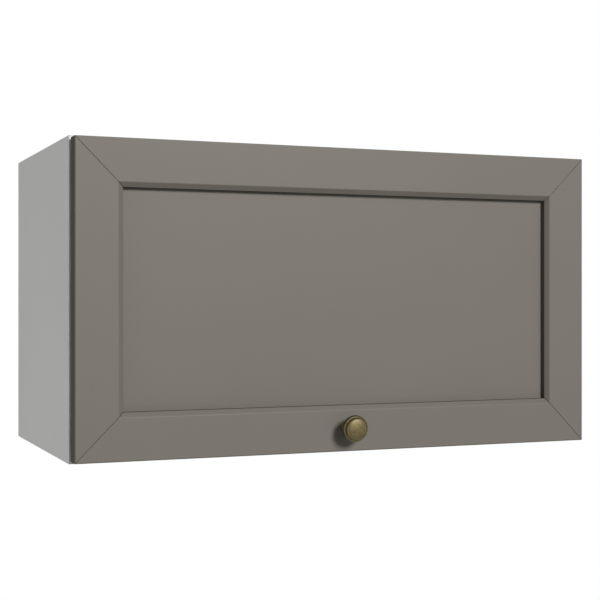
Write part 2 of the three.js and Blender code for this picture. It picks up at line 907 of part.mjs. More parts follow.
function stayArm(name, side) {
  const arm = cut(
    fuse(
      sidePlate(
        side,
        leverOutline(stayPivot, armHubRadius, elbow, armEndRadius),
        armFromSide,
        armFromSide + armThickness,
      ),
      sideBar(
        side,
        armHubRadius - 1,
        armSlotInner + layerGap,
        armSlotOuter - layerGap,
        stayPivot,
        roundSides,
      ),
    ),
    sideBar(side, stayPinRadius + runningClearance, armSlotInner, armSlotOuter, stayPivot),
    sideBar(side, elbowPinRadius + runningClearance, armSlotInner, armSlotOuter, elbow),
  );
  return piece(`${name}_stay_arm`, arm, nickelSteel);
}

function stayElbowPin(name, side) {
  const half = (linkFromSide + linkThickness - armFromSide) / 2 + layerGap;
  const head = half + rivetHeadHeight;
  const profile = [
    [0, -head],
    [rivetHeadRadius, -head],
    [rivetHeadRadius, -half],
    [elbowPinRadius, -half],
    [elbowPinRadius, half],
    [rivetHeadRadius, half],
    [rivetHeadRadius, head],
    [0, head],
  ];
  const middle = sideInner - (armFromSide + linkFromSide + linkThickness) / 2;
  return piece(`${name}_stay_elbow_pin`, sideTurned(side, profile, middle, elbow, pinSides), zincSteel);
}

function stayLink(name, side) {
  const end = linkFromSide + linkThickness;
  const hole = elbowPinRadius + runningClearance;
  const link = cut(
    sidePlate(side, leverOutline(elbow, linkEndRadius, stud, linkEndRadius), linkFromSide, end),
    sideBar(side, hole, linkFromSide - 1, end + 1, elbow),
    sideBar(side, hole, linkFromSide - 1, end + 1, stud),
  );
  return piece(`${name}_stay_link`, link, nickelSteel);
}

// Screwed to the door's back, with an ear and a stud that the link turns on.
function stayBracket(name, side) {
  const [y, z] = stud;
  const seat = pivotDepth + bracketSeat;
  const bracket = fuse(
    sideBox(
      side,
      bracketFromSide,
      bracketFromSide + bracketWidth,
      seat,
      seat + bracketThickness,
      z - bracketHeight / 2,
      z + bracketHeight / 2,
    ),
    sidePlate(
      side,
      [
        [seat, z - earRadius],
        ...arcPoints(y, z, earRadius, -Math.PI / 2, Math.PI / 2, 10),
        [seat, z + earRadius],
      ],
      earFromSide,
      earFromSide + earThickness,
    ),
    sideBar(side, elbowPinRadius, linkFromSide - layerGap - 1, earFromSide + 1, stud),
    sideBar(side, rivetHeadRadius, linkFromSide - layerGap - rivetHeadHeight, linkFromSide - layerGap, stud),
  );
  return piece(`${name}_stay_bracket`, bracket, nickelSteel);
}

// ---------------------------------------------------------------------------------------------------------
// The assembly
// ---------------------------------------------------------------------------------------------------------

const carcass = new THREE.Group();
carcass.add(
  ...sides.map(([name, side]) => sideBoard(name, side)),
  ...levels.map(([name, level]) => levelBoard(name, level)),
  backPanel(),
  ...edgeBands(),
  ...camConnectors(),
  ...sides.flatMap(([name, side]) => hanger(name, side)),
);

const frame = doorFrame();
frame.position.set(0, doorFront - pivotY, doorMiddle - pivotZ);

const onHingeLine = new THREE.Group();
onHingeLine.position.set(0, pivotY, pivotZ);
onHingeLine.add(
  frame,
  knobAndScrew(),
  ...bumpers(),
  ...sides.flatMap(([name, side]) => [
    hingeCup(name, side * hingeX),
    hingePin(name, side * hingeX),
    hingeArm(name, side * hingeX),
    hingePlate(name, side * hingeX),
    stayHousing(name, side),
    stayCartridge(name, side),
    stayPivotPin(name, side),
    stayArm(name, side),
    stayElbowPin(name, side),
    stayLink(name, side),
    stayBracket(name, side),
  ]),
);

const group = new THREE.Group();
group.add(carcass, onHingeLine);

export default group;
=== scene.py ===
"""Lift up wall cabinet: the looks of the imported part, in the order in which the cabinet is put together."""

import math

import bmesh
import bpy
from mathutils import Matrix, Vector


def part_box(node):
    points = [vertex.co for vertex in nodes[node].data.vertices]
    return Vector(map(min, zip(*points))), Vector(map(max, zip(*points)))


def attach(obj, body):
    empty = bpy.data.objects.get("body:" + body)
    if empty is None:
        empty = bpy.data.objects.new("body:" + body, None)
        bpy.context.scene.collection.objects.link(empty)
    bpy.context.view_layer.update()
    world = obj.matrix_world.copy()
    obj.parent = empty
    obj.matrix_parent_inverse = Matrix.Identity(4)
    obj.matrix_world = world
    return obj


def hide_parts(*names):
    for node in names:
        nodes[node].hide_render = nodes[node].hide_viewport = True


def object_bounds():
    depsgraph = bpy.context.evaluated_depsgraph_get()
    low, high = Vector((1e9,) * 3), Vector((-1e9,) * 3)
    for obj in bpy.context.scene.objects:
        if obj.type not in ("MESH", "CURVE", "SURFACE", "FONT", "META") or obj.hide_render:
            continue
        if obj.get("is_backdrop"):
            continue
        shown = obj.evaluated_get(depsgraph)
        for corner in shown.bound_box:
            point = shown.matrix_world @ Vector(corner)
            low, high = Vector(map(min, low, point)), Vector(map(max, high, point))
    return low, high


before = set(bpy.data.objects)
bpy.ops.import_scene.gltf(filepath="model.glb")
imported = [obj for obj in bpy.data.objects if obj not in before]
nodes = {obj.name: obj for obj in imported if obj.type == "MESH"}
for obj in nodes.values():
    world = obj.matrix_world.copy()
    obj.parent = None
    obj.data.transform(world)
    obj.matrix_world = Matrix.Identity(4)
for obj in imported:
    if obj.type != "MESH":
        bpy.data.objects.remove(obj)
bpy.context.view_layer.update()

scene = bpy.context.scene
MM = 0.001

# ---------------------------------------------------------------------------------------------------------
# Camera
# It stands left of the cabinet at the height of the door's middle and looks level. Its place was worked out
# from the outlines of the door and the carcass in the photograph.
# ---------------------------------------------------------------------------------------------------------

camera_data = bpy.data.cameras.new("camera")
camera_data.sensor_fit = "HORIZONTAL"
camera_data.sensor_width = 36.0
camera_data.lens = 77.83
camera_data.shift_x = 0.00035
camera_data.shift_y = -0.00175
camera = bpy.data.objects.new("camera", camera_data)
camera.location = (-575.2 * MM, -1595.4 * MM, 159.24 * MM)
camera.rotation_euler = (math.radians(90), 0, math.radians(-22.03))
scene.collection.objects.link(camera)
scene.camera = camera
scene.view_settings.view_transform = "Standard"


# ---------------------------------------------------------------------------------------------------------
# Floor, background and studio light
# The cabinet hangs 1.4 m above a pale floor, as on a kitchen wall, so the floor keeps only a faint shadow. A
# soft key light stands in front, a little right and above, and a large fill light stands on each side.
# ---------------------------------------------------------------------------------------------------------


def linear(hex_colour):
    """An sRGB hex colour as linear red, green, blue and alpha."""
    channels = [int(hex_colour[i : i + 2], 16) / 255 for i in (1, 3, 5)]
    straight = [c / 12.92 if c <= 0.04045 else ((c + 0.055) / 1.055) ** 2.4 for c in channels]
    return (*straight, 1.0)


def add(tree, kind, inputs=None, **settings):
    """Adds a node. Settings are its own, and an input is a value or the socket that feeds it."""
    made = tree.nodes.new(kind)
    for name, value in settings.items():
        setattr(made, name, value)
    for key, value in (inputs or {}).items():
        if isinstance(value, bpy.types.NodeSocket):
            tree.links.new(value, made.inputs[key])
        else:
            made.inputs[key].default_value = value
    return made


def maths(tree, operation, *values, **settings):
    """One step of arithmetic on numbers or sockets."""
    return add(tree, "ShaderNodeMath", dict(enumerate(values)), operation=operation, **settings).outputs[0]


def new_material(name):
    """An empty node material and its tree."""
    material = bpy.data.materials.new(name)
    material.use_nodes = True
    material.node_tree.nodes.clear()
    return material, material.node_tree


def camera_or_glossy(tree):
    """1 for a ray that shows the background: from the camera, off a gloss or through glass."""
    path = add(tree, "ShaderNodeLightPath")
    seen = path.outputs["Is Camera Ray"]
    for other in ("Is Glossy Ray", "Is Transmission Ray"):
        seen = maths(tree, "MAXIMUM", seen, path.outputs[other])
    return seen


def mesh_of(name, bm):
    """Ends a bmesh as a mesh."""
    mesh = bpy.data.meshes.new(name)
    bm.to_mesh(mesh)
    bm.free()
    return mesh


def mesh_object(name, mesh, *materials):
    """A new object at the origin, with its materials in order."""
    for material in materials:
        mesh.materials.append(material)
    made = bpy.data.objects.new(name, mesh)
    scene.collection.objects.link(made)
    return made


room_light = 0.08  # what the white room gives from all round, as a share of full light
world = bpy.data.worlds.new("white_studio")
world.use_nodes = True
tree = world.node_tree
tree.nodes.clear()
strength = {"Value": camera_or_glossy(tree), "To Min": room_light, "To Max": 1.0}
white = add(tree, "ShaderNodeMapRange", strength)
sky = add(tree, "ShaderNodeBackground", {"Color": linear("#ffffff"), "Strength": white.outputs[0]})
add(tree, "ShaderNodeOutputWorld", {"Surface": sky.outputs[0]})
scene.world = world

# The floor is a disc that fades out into the white round it.
floor_level = -1.4
floor_radius = 3.0
fade_start = 1.4
fade_end = 2.8
floor_glow = 0.62  # lifts the floor that is seen to nearly the white round it
floor_paint, tree = new_material("pale_floor_paint")
lift = maths(tree, "MULTIPLY", camera_or_glossy(tree), floor_glow)
glow = add(tree, "ShaderNodeEmission", {"Color": linear("#ffffff"), "Strength": lift})
matt = add(tree, "ShaderNodeBsdfDiffuse", {"Color": linear("#ececea")})
lit = add(tree, "ShaderNodeAddShader", {0: glow.outputs[0], 1: matt.outputs[0]})
coords = add(tree, "ShaderNodeTexCoord")
flat = add(tree, "ShaderNodeVectorMath", {0: coords.outputs["Object"], 1: (1, 1, 0)}, operation="MULTIPLY")
reach = add(tree, "ShaderNodeVectorMath", {0: flat.outputs[0]}, operation="LENGTH")
spread = {"Value": reach.outputs["Value"], "From Min": fade_start, "From Max": fade_end}
fade = add(tree, "ShaderNodeMapRange", spread, interpolation_type="SMOOTHSTEP")
clear = add(tree, "ShaderNodeBsdfTransparent")
shown = add(tree, "ShaderNodeMixShader", {0: fade.outputs[0], 1: lit.outputs[0], 2: clear.outputs[0]})
add(tree, "ShaderNodeOutputMaterial", {"Surface": shown.outputs[0]})
bm = bmesh.new()
bmesh.ops.create_circle(bm, cap_ends=True, segments=96, radius=floor_radius)
bmesh.ops.translate(bm, verts=bm.verts, vec=(0, -0.15, floor_level))
floor = mesh_object("floor", mesh_of("floor", bm), floor_paint)
floor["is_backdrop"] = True


def soft_light(name, place, aim, size, share):
    """A round area light. Its share is the light that reaches its aim, where 1 shows a colour as written."""
    data = bpy.data.lights.new(name, "AREA")
    data.shape = "DISK"
    data.size = size
    # A disc of power P lights a point straight ahead with P / (pi * distance^2), and full light is pi.
    data.energy = share * math.pi**2 * (Vector(aim) - Vector(place)).length_squared
    light = bpy.data.objects.new(name, data)
    light.location = place
    light.rotation_euler = (Vector(place) - Vector(aim)).to_track_quat("Z", "Y").to_euler()
    scene.collection.objects.link(light)


# The key light is turned to the left of the cabinet, so that the door gets a little darker to the right.
soft_light("key_light", place=(1.28, -5.0, 2.36), aim=(-2.3, -0.315, 0.16), size=1.85, share=0.669)
soft_light("left_fill", place=(-2.6, -0.5, -0.2), aim=(-0.3, -0.15, 0.16), size=2.0, share=0.28)
soft_light("right_fill", place=(2.6, 0.95, 0.7), aim=(0.3, -0.15, 0.16), size=2.0, share=0.22)


# ---------------------------------------------------------------------------------------------------------
# Side, top and bottom boards
# 16 mm chipboard with white melamine pressed on both faces. The rear edges stay raw, because they are turned
# to the wall, and the saw leaves the arrises a little broken.
# ---------------------------------------------------------------------------------------------------------


def place_on(tree):
    """The place on the object, in metres."""
    return add(tree, "ShaderNodeTexCoord").outputs["Object"]


def noise_at(tree, vector, size, detail=2.0, roughness=0.5):
    """Cloudy noise whose patches are about `size` metres across."""
    inputs = {"Vector": vector, "Scale": 0.5 / size, "Detail": detail, "Roughness": roughness}
    return add(tree, "ShaderNodeTexNoise", inputs).outputs["Fac"]


def between(tree, factor, low, high, from_low=0.3, from_high=0.7):
    """Turns a pattern into a number from low to high."""
    inputs = {"Value": factor, "From Min": from_low, "From Max": from_high, "To Min": low, "To Max": high}
    return add(tree, "ShaderNodeMapRange", inputs).outputs[0]


def tones(tree, factor, *stops):
    """Turns a pattern into colours. Each stop is a place from 0 to 1 and an sRGB hex colour."""
    ramp = add(tree, "ShaderNodeValToRGB", {"Fac": factor})
    points = ramp.color_ramp.elements
    while len(points) < len(stops):
        points.new(0.5)
    for point, (place, colour) in zip(points, stops):
        point.position = place
        point.color = linear(colour)
    return ramp.outputs["Color"]


def relief(tree, height, depth, under=None):
    """A bump of that depth in metres, on top of another one if there is one."""
    inputs = {"Height": height, "Distance": depth, "Strength": 1.0}
    if under:
        inputs["Normal"] = under
    return add(tree, "ShaderNodeBump", inputs).outputs["Normal"]


def surface(tree, **inputs):
    """The Principled shader and the output. Its inputs' names have underscores for their spaces."""
    named = {name.replace("_", " "): value for name, value in inputs.items()}
    shader = add(tree, "ShaderNodeBsdfPrincipled", named)
    add(tree, "ShaderNodeOutputMaterial", {"Surface": shader.outputs[0]})


# White melamine: a pearl texture of 0.4 mm grains, too fine to show, is drawn at 0.9 mm, and long soft waves
# of the press give the sheen some life.
white_melamine, tree = new_material("white_melamine")
spot = place_on(tree)
pearl = noise_at(tree, spot, 0.9 * MM)
wave = noise_at(tree, spot, 60 * MM)
surface(
    tree,
    Base_Color=tones(tree, wave, (0.3, "#e4e4e3"), (0.7, "#e8e8e7")),
    Roughness=between(tree, wave, 0.52, 0.6),
    Specular_IOR_Level=0.2,
    Normal=relief(tree, pearl, 0.012 * MM),
)

# Raw chipboard: flakes of 1 to 3 mm in the core, dust-fine towards both faces, with small dark pores. The UV
# map's U runs across the board's thickness from -1 to 1, and V along its length in metres.
raw_chipboard, tree = new_material("raw_chipboard_edge")
coords = add(tree, "ShaderNodeTexCoord")
spot = coords.outputs["Object"]
flakes = add(tree, "ShaderNodeTexVoronoi", {"Vector": spot, "Scale": 1 / (2.2 * MM), "Randomness": 1.0})
flake_tone = add(tree, "ShaderNodeSeparateColor", {"Color": flakes.outputs["Color"]}).outputs[0]
dust = noise_at(tree, spot, 0.6 * MM, 4.0)
across = add(tree, "ShaderNodeSeparateXYZ", {"Vector": coords.outputs["UV"]}).outputs[0]
face_layer = between(tree, maths(tree, "ABSOLUTE", across), 0.0, 1.0, 0.6, 0.8)
grain = add(tree, "ShaderNodeMix", {0: face_layer, 2: flake_tone, 3: dust}).outputs[0]
pores = between(tree, noise_at(tree, spot, 1.4 * MM, 3.0), 0.0, 1.0, 0.36, 0.46)
wood = tones(tree, grain, (0.0, "#8d6c47"), (0.35, "#b08a5c"), (0.7, "#c9a678"), (1.0, "#dcc49c"))
pored = {0: pores, 6: linear("#5f4a33"), 7: wood}
surface(
    tree,
    Base_Color=add(tree, "ShaderNodeMix", pored, data_type="RGBA").outputs[2],
    Roughness=0.85,
    Specular_IOR_Level=0.2,
    Normal=relief(tree, grain, 0.15 * MM),
)


def settled(made):
    """Applies the object's modifiers, so that its mesh is final."""
    bpy.context.view_layer.update()
    drawn = made.evaluated_get(bpy.context.evaluated_depsgraph_get())
    final = bpy.data.meshes.new_from_object(drawn)
    made.modifiers.clear()
    made.data = final
    final.name = made.name
    return made


def smooth_rounded(made):
    """Smooth shading that keeps flat faces flat and lets only the small roundings turn."""
    made.data.shade_smooth()
    made.data.set_sharp_from_angle(angle=math.radians(50))
    weighted = made.modifiers.new("flat_faces_stay_flat", "WEIGHTED_NORMAL")
    weighted.keep_sharp = True
    return settled(made)


def bored(made, cutters):
    """Takes the cutters away from the piece."""
    for cutter in cutters:
        hole = made.modifiers.new("bore", "BOOLEAN")
        hole.object = cutter
        hole.solver = "EXACT"
    settled(made)
    for cutter in cutters:
        bpy.data.objects.remove(cutter)


def broken_edges(part, width, *materials, least=0.0, before=math.inf, steps=2, cutters=()):
    """A copy of a CAD part, to stand for it, with its sharp edges rounded by `width`.

    Only edges at least `least` long are rounded, and only those that lie in front of `before`."""
    bm = bmesh.new()
    bm.from_mesh(nodes[part].data)
    bmesh.ops.remove_doubles(bm, verts=bm.verts, dist=1e-6)
    bmesh.ops.dissolve_limit(bm, angle_limit=math.radians(1), verts=bm.verts, edges=bm.edges)
    sharp = [
        edge
        for edge in bm.edges
        if edge.is_manifold
        and edge.calc_face_angle() > math.radians(35)
        and edge.calc_length() >= least
        and max(end.co.y for end in edge.verts) < before
    ]
    bmesh.ops.bevel(
        bm,
        geom=sharp,
        offset=width,
        offset_type="OFFSET",
        segments=steps,
        profile=0.5,
        affect="EDGES",
        clamp_overlap=True,
    )
    made = mesh_object(part + "_finished", mesh_of(part + "_finished", bm), *materials)
    if cutters:
        bored(made, cutters)
    smooth_rounded(made)
    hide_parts(part)
    return made


def raw_rear_edge(made, thickness_axis, length_axis):
    """Gives the polygons that face the wall the second material and a UV map across and along the board."""
    mesh = made.data
    uv = mesh.uv_layers.new(name="UVMap")
    heights = [v.co[thickness_axis] for v in mesh.vertices]
    low, high = min(heights), max(heights)
    for polygon in mesh.polygons:
        if polygon.normal.y > 0.9 and polygon.center.y > -0.5 * MM:
            polygon.material_index = 1
        for corner in polygon.loop_indices:
            place = mesh.vertices[mesh.loops[corner].vertex_index].co
            share = (place[thickness_axis] - low) / (high - low)
            uv.data[corner].uv = (2 * share - 1, place[length_axis])


saw_break = 0.3 * MM
for name, thickness_axis, length_axis in (
    ("left_side_board", 0, 2),
    ("right_side_board", 0, 2),
    ("top_board", 2, 0),
    ("bottom_board", 2, 0),
):
    board = broken_edges(name, saw_break, white_melamine, raw_chipboard, least=14 * MM)
    raw_rear_edge(board, thickness_axis, length_axis)
    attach(board, "carcass")

# ---------------------------------------------------------------------------------------------------------
# Edge bands
# 1 mm white ABS, glued to the boards' front edges and trimmed with a rounding of 0.9 mm.
# ---------------------------------------------------------------------------------------------------------

# Extruded ABS: fine draw lines run along the band, and it is a shade brighter and smoother than the board.
white_abs, tree = new_material("white_abs_edge_band")
spot = place_on(tree)
pebble = noise_at(tree, spot, 0.7 * MM)
cast = noise_at(tree, spot, 40 * MM)
surface(
    tree,
    Base_Color=tones(tree, cast, (0.3, "#eaeae9"), (0.7, "#eeeeed")),
    Roughness=between(tree, pebble, 0.4, 0.48),
    Specular_IOR_Level=0.3,
    Normal=relief(tree, pebble, 0.01 * MM),
)

trimmed = 0.9 * MM
for board_name in ("left_side", "right_side", "top_board", "bottom_board"):
    name = board_name + "_edge_band"
    front_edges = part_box(name)[0].y + 0.1 * MM
    band = broken_edges(name, trimmed, white_abs, least=10 * MM, before=front_edges, steps=5)
    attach(band, "carcass")

# ---------------------------------------------------------------------------------------------------------
# Back panel
# 3 mm hardboard that slides in a groove all round. Its inner face is lacquered white, and the face to the
# wall and the sawn corners stay brown.
# ---------------------------------------------------------------------------------------------------------

# White lacquer on hardboard: the roller leaves a faint orange peel of about 2 mm.
white_lacquer, tree = new_material("white_lacquered_hardboard")
spot = place_on(tree)
peel = noise_at(tree, spot, 2 * MM)
cloud = noise_at(tree, spot, 90 * MM)
surface(
    tree,
    Base_Color=tones(tree, cloud, (0.3, "#dfdedb"), (0.7, "#e3e2df")),
    Roughness=between(tree, cloud, 0.46, 0.56),
    Specular_IOR_Level=0.3,
    Normal=relief(tree, peel, 0.02 * MM),
)

# Raw hardboard: pressed wood fibres, 1 to 4 mm long and lying all ways, with darker resin specks.
raw_hardboard, tree = new_material("raw_hardboard")
spot = place_on(tree)
fibres = noise_at(tree, spot, 1.2 * MM, 5.0, 0.65)
stain = noise_at(tree, spot, 35 * MM, 2.0)
blend = add(tree, "ShaderNodeMix", {0: 0.35, 2: fibres, 3: stain}).outputs[0]
surface(
    tree,
    Base_Color=tones(tree, blend, (0.3, "#6d5239"), (0.5, "#876749"), (0.7, "#9c7b59")),
    Roughness=between(tree, fibres, 0.6, 0.8),
    Specular_IOR_Level=0.3,
    Normal=relief(tree, fibres, 0.06 * MM),
)

back = broken_edges("back_panel", 0.2 * MM, raw_hardboard, white_lacquer, least=2 * MM)
for polygon in back.data.polygons:
    if polygon.normal.y < -0.9:
        polygon.material_index = 1
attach(back, "carcass")

# ---------------------------------------------------------------------------------------------------------
# Cam connectors
# Die-cast zinc cams, let into the outer faces of the top and bottom boards and turned with a cross-tip
# driver. Each grips the head of a steel bolt that is screwed into the side board.
# ---------------------------------------------------------------------------------------------------------

# Cast zinc: a dull grey skin with a fine sandy grain of 0.5 mm, darker where the mould ran cold.
cast_zinc, tree = new_material("die_cast_zinc")
spot = place_on(tree)
sand = noise_at(tree, spot, 0.5 * MM, 3.0)
cold = noise_at(tree, spot, 4 * MM)
surface(
    tree,
    Base_Color=tones(tree, cold, (0.3, "#808283"), (0.7, "#97999a")),
    Metallic=0.9,
    Roughness=between(tree, sand, 0.42, 0.6),
    Normal=relief(tree, sand, 0.03 * MM),
)


def new_geometry_tree(name, *inputs):
    """An empty Geometry Nodes tree. Each input is a name, a socket kind and a value it starts from."""
    tree = bpy.data.node_groups.new(name, "GeometryNodeTree")
    tree.is_modifier = True
    tree.interface.new_socket("Geometry", in_out="INPUT", socket_type="NodeSocketGeometry")
    for label, kind, value in inputs:
        socket = tree.interface.new_socket(label, in_out="INPUT", socket_type="NodeSocket" + kind)
        if value is not None:
            socket.default_value = value
    tree.interface.new_socket("Geometry", in_out="OUTPUT", socket_type="NodeSocketGeometry")
    return tree, add(tree, "NodeGroupInput").outputs


def vector_of(tree, **parts):
    """A vector from numbers or sockets for its X, Y and Z."""
    return add(tree, "ShaderNodeCombineXYZ", parts).outputs[0]


def moved(tree, geometry, **inputs):
    """The geometry with a Translation, a Rotation or a Scale."""
    return add(tree, "GeometryNodeTransform", {"Geometry": geometry, **inputs}).outputs[0]


def grown(name, points, tree, **values):
    """Runs a Geometry Nodes tree over the object and keeps the result as a plain mesh.

    points are (place, outward, sideways, size) for each thing that is set on them."""
    mesh = bpy.data.meshes.new(name)
    mesh.from_pydata([place for place, *_ in points], [], [])
    for index, label in ((1, "outward"), (2, "sideways")):
        aim = mesh.attributes.new(label, "FLOAT_VECTOR", "POINT")
        aim.data.foreach_set("vector", [c for point in points for c in point[index]])
    mesh.attributes.new("size", "FLOAT", "POINT").data.foreach_set("value", [point[3] for point in points])
    made = mesh_object(name, mesh)
    return run_tree(made, tree, **values)


def run_tree(made, tree, **values):
    """Sets a tree's inputs by their identifiers, runs it and applies it."""
    modifier = made.modifiers.new(tree.name, "NODES")
    modifier.node_group = tree
    for item in tree.interface.items_tree:
        if item.in_out == "INPUT" and item.name.replace(" ", "_") in values:
            modifier[item.identifier] = values[item.name.replace(" ", "_")]
    return settled(made)


def end_tree(tree, inputs, geometry):
    """Makes instances real, gives the geometry its finish and ends the tree."""
    real = add(tree, "GeometryNodeRealizeInstances", {"Geometry": geometry}).outputs[0]
    dressed = add(tree, "GeometryNodeSetMaterial", {"Geometry": real, "Material": inputs["Finish"]})
    add(tree, "NodeGroupOutput", {"Geometry": dressed.outputs[0]})


def set_out(tree, inputs, thing):
    """Puts the thing on each point, its Z outwards and its X sideways, and ends the tree."""
    outward, sideways, size = [
        add(tree, "GeometryNodeInputNamedAttribute", {"Name": name}, data_type=kind).outputs[0]
        for name, kind in (("outward", "FLOAT_VECTOR"), ("sideways", "FLOAT_VECTOR"), ("size", "FLOAT"))
    ]
    up = add(tree, "FunctionNodeAlignRotationToVector", {"Vector": outward}, axis="Z")
    aim = {"Rotation": up.outputs[0], "Vector": sideways}
    turn = add(tree, "FunctionNodeAlignRotationToVector", aim, axis="X", pivot_axis="Z")
    place = {"Points": inputs["Geometry"], "Instance": thing, "Rotation": turn.outputs[0], "Scale": size}
    end_tree(tree, inputs, add(tree, "GeometryNodeInstanceOnPoints", place).outputs[0])


def cross_recess(tree, width, depth):
    """Two crossed tapered blades, point down, that cut a cross recess into a face at height 0."""
    down = vector_of(tree, Z=maths(tree, "MULTIPLY", depth, -1.0))
    wedge = {
        "Vertices": 4,
        "Radius Top": maths(tree, "MULTIPLY", width, 0.5),
        "Radius Bottom": maths(tree, "MULTIPLY", width, 0.2),
        "Depth": maths(tree, "MULTIPLY", depth, 2.0),
    }
    cone = add(tree, "GeometryNodeMeshCone", wedge).outputs[0]
    square = moved(tree, cone, Rotation=(0, 0, math.radians(45)))
    corner = 1.41  # the faces of a cone with four sides lie 1.41 times nearer than its corners
    thin = 0.3
    flattened = ((corner, thin, 1), (thin, corner, 1))
    return [moved(tree, square, Translation=down, Scale=scale) for scale in flattened]


def carved(tree, block, cutters):
    """The block with the cutters taken away."""
    rest = block
    for cutter in cutters:
        cut = add(tree, "GeometryNodeMeshBoolean", operation="DIFFERENCE", solver="EXACT")
        tree.links.new(rest, cut.inputs["Mesh 1"])
        tree.links.new(cutter, cut.inputs["Mesh 2"])
        rest = cut.outputs["Mesh"]
    return rest


cam_radius = 7.3 * MM
cam_height = 12.4 * MM
cam_tree, inputs = new_geometry_tree(
    "cams",
    ("Radius", "Float", cam_radius),
    ("Height", "Float", cam_height),
    ("Recess Width", "Float", 7 * MM),
    ("Recess Depth", "Float", 3 * MM),
    ("Bolt Drop", "Float", 7.7 * MM),
    ("Finish", "Material", None),
)
tree = cam_tree
disc = {"Vertices": 40, "Radius": inputs["Radius"], "Depth": inputs["Height"]}
disc = add(tree, "GeometryNodeMeshCylinder", disc).outputs[0]
disc = moved(tree, disc, Translation=vector_of(tree, Z=maths(tree, "MULTIPLY", inputs["Height"], -0.5)))
# Each is a radius, a length and how far it lies out from the cam's middle.
head_pocket = (3.7 * MM, 6 * MM, 0)
neck_pocket = (2.4 * MM, 9 * MM, 4.5 * MM)
bolt_line = maths(tree, "MULTIPLY", inputs["Bolt Drop"], -1.0)
pockets = []
for radius, length, offset in (head_pocket, neck_pocket):
    hole = {"Vertices": 20, "Radius": radius, "Depth": length}
    hole = add(tree, "GeometryNodeMeshCylinder", hole).outputs[0]
    middle = vector_of(tree, X=offset, Z=bolt_line)
    pockets.append(moved(tree, hole, Translation=middle, Rotation=(0, math.radians(90), 0)))
recess = cross_recess(tree, inputs["Recess Width"], inputs["Recess Depth"])
cam = carved(tree, disc, [*recess, *pockets])
set_out(tree, inputs, cam)

cam_nodes = [name for name in nodes if name.startswith("cam_") and not name.startswith("cam_bolt")]
cam_points = []
for name in cam_nodes:
    low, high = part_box(name)
    level = 1 if name.startswith("cam_top") else -1
    side = 1 if "right" in name else -1
    face = high.z if level > 0 else low.z
    middle = (low + high) / 2
    cam_points.append(((middle.x, middle.y, face), (0, 0, level), (side, 0, 0), 1.0))
cams = grown("cams", cam_points, cam_tree, Radius=cam_radius, Height=cam_height, Finish=cast_zinc)
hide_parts(*cam_nodes)
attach(cams, "carcass")

# Bright zinc plating on steel: a cool silver with a faint bluish and straw cast in patches of 3 mm.
zinc_plate, tree = new_material("bright_zinc_plated_steel")
spot = place_on(tree)
cast = noise_at(tree, spot, 3 * MM, 3.0)
scuff = noise_at(tree, spot, 0.5 * MM, 4.0)
surface(
    tree,
    Base_Color=tones(tree, cast, (0.3, "#a3a9b0"), (0.5, "#b3b5b5"), (0.7, "#b9b4a6")),
    Metallic=1.0,
    Roughness=between(tree, scuff, 0.3, 0.46),
    Normal=relief(tree, scuff, 0.01 * MM),
)


def refinish(name, material):
    """Gives a CAD node a better material in its own slot."""
    nodes[name].material_slots[0].material = material


for name in nodes:
    if name.startswith("cam_bolt"):
        refinish(name, zinc_plate)

# ---------------------------------------------------------------------------------------------------------
# Wall hangers
# A moulded box sits in each upper rear corner. Its pressed steel hook passes through the back panel's cut
# corner and hangs on the wall rail, and two cross-head screws in its front set the height and the depth.
# ---------------------------------------------------------------------------------------------------------

# Moulded white plastic: a spark-eroded mould leaves an even matt grain of 0.3 mm, drawn at 0.6 mm.
white_moulding, tree = new_material("moulded_white_plastic")
spot = place_on(tree)
eroded = noise_at(tree, spot, 0.6 * MM, 3.0)
flow = noise_at(tree, spot, 12 * MM)
surface(
    tree,
    Base_Color=tones(tree, flow, (0.3, "#dddcd9"), (0.7, "#e2e1de")),
    Roughness=between(tree, eroded, 0.42, 0.54),
    Normal=relief(tree, eroded, 0.02 * MM),
)

for side_name in ("left", "right"):
    housing = broken_edges(side_name + "_hanger_housing", 0.5 * MM, white_moulding, least=1.5 * MM)
    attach(housing, "carcass")
    hook = broken_edges(side_name + "_hanger_hook", 0.4 * MM, zinc_plate)
    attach(hook, side_name + "_hook")

# ---------------------------------------------------------------------------------------------------------
# Door frame
# Four mitred members of 20 mm MDF, wrapped in a matt warm grey foil. Each has an eased front edge, a shallow
# bevel down to the panel, and a groove that holds it. Painted shade darkens the foil on the outer edges, the
# bevels and the walls of the recess.
# ---------------------------------------------------------------------------------------------------------

# Matt foil on MDF: the glue line gives it an orange peel of about 4 mm, its own grain of 0.15 mm is drawn at
# 0.8 mm, and its tone drifts by a shade over a hand's width. The attribute "drawn" holds painted shade: where
# it is set, the colour turns darker and cooler and the sheen goes, on the outer edges, bevels and recess
# walls.
grey_foil, tree = new_material("matt_grey_foil")
spot = place_on(tree)
peel = noise_at(tree, spot, 4 * MM, 2.0)
grain = noise_at(tree, spot, 0.8 * MM, 3.0)
drift = noise_at(tree, spot, 90 * MM, 3.0)
tone = tones(tree, drift, (0.3, "#757068"), (0.7, "#77726a"))
speck = between(tree, grain, 0.985, 1.015)
mottled = add(tree, "ShaderNodeVectorMath", {0: tone, "Scale": speck}, operation="SCALE").outputs[0]
# Painted shade: the attribute mixes the foil's colour towards a dark grey that stands for shade.
drawn = add(tree, "ShaderNodeAttribute", attribute_name="drawn").outputs["Fac"]
stretched = {0: drawn, 6: mottled, 7: linear("#3a3b3c")}
surface(
    tree,
    Base_Color=add(tree, "ShaderNodeMix", stretched, data_type="RGBA").outputs[2],
    Roughness=between(tree, drift, 0.48, 0.52),
    Specular_IOR_Level=between(tree, drawn, 0.28, 0.0, 0.0, 0.1),
    Normal=relief(tree, grain, 0.006 * MM, relief(tree, peel, 0.01 * MM)),
)

